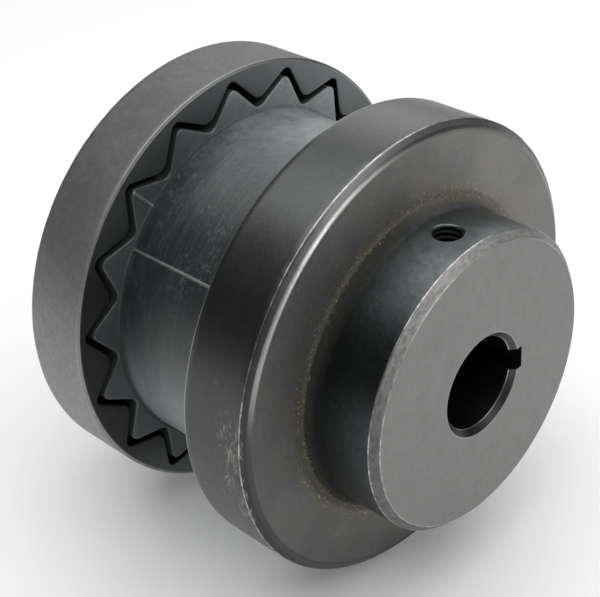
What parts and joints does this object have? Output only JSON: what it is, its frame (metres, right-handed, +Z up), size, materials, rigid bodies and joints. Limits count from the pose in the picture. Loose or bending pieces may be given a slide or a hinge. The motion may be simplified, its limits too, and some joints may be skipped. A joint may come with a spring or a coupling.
{
  "type": "elastomeric sleeve coupling",
  "caption": "Flexible shaft coupling: two flanged, set-screwed hubs with internal teeth, joined by a toothed rubber sleeve that slides in and out along the shaft axis.",
  "frame": {"origin": "the middle of the coupling, on the shaft axis, halfway between the two flanges", "axes": "+X along the shaft axis towards the drive flange's hub; +Z up, through the set screws over the plain bores; +Y through the keyways"},
  "size_m": [0.0626, 0.0624, 0.0624],
  "materials": {
    "flange_iron": "black oxide over machined and as-cast surfaces, worn bright on the edges",
    "sleeve_rubber": "moulded blue-black rubber with a faint bloom",
    "screw_steel": "black oxide on hardened steel"
  },
  "bodies": {
    "driven_half": {"driven_flange": "flange_iron"},
    "sleeve": {"rubber_sleeve": "sleeve_rubber"},
    "drive_half": {"drive_flange": "flange_iron"},
    "drive_bore_screw": {"drive_bore_screw": "screw_steel"},
    "drive_key_screw": {"drive_key_screw": "screw_steel"},
    "driven_bore_screw": {"driven_bore_screw": "screw_steel"},
    "driven_key_screw": {"driven_key_screw": "screw_steel"}
  },
  "joints": [
    {"name": "sleeve_slide", "type": "slide", "parent": "driven_half", "child": "sleeve", "axis": [1, 0, 0], "range_m": [-0.0005, 0.012]},
    {"name": "drive_half_slide", "type": "slide", "parent": "sleeve", "child": "drive_half", "axis": [1, 0, 0], "range_m": [-0.0005, 0.012]},
    {"name": "drive_bore_screw_travel", "type": "slide", "parent": "drive_half", "child": "drive_bore_screw", "axis": [0, 0, 1], "range_m": [0, 0.00714]},
    {"name": "drive_key_screw_travel", "type": "slide", "parent": "drive_half", "child": "drive_key_screw", "axis": [0, 1, 0], "range_m": [0, 0.00556]},
    {"name": "driven_bore_screw_travel", "type": "slide", "parent": "driven_half", "child": "driven_bore_screw", "axis": [0, 0, 1], "range_m": [0, 0.00714]},
    {"name": "driven_key_screw_travel", "type": "slide", "parent": "driven_half", "child": "driven_key_screw", "axis": [0, 1, 0], "range_m": [0, 0.00556]}
  ]
}
